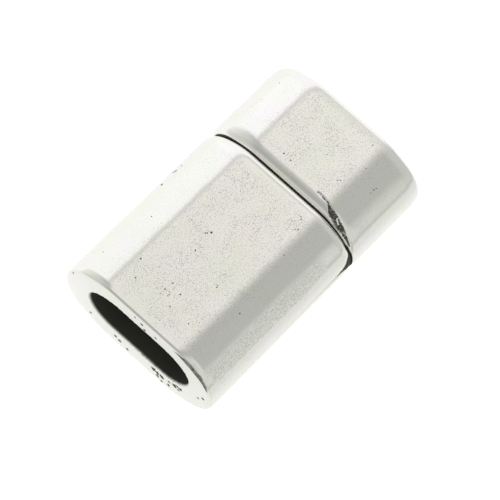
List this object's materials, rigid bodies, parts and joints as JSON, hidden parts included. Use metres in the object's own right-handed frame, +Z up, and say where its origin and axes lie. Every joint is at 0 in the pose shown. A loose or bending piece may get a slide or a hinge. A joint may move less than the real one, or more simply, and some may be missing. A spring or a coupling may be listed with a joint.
{
  "type": "magnetic clasp",
  "caption": "Flat oval magnetic clasp in antique silver: a long and a short cast half, each with a glue-in socket for flat cord, held shut by disc magnets.",
  "frame": {"origin": "centre of the footprint, on the plane that the clasp lies on", "axes": "+X along the cord from the long half to the short half, +Y across the cord, +Z up from the flat underside"},
  "size_m": [0.0242, 0.015, 0.008],
  "materials": {
    "silver_plate": "antique silver plate on a zinc casting, polished, with fine dark pits and scratches",
    "nickel_plate": "nickel plated magnet, satin"
  },
  "bodies": {
    "long_side": {"long_half": "silver_plate", "long_magnet": "nickel_plate"},
    "short_side": {"short_half": "silver_plate", "short_magnet": "nickel_plate"}
  },
  "joints": [
    {"name": "pull_apart", "type": "slide", "parent": "long_side", "child": "short_side", "axis": [1, 0, 0], "range_m": [0, 0.012]}
  ]
}
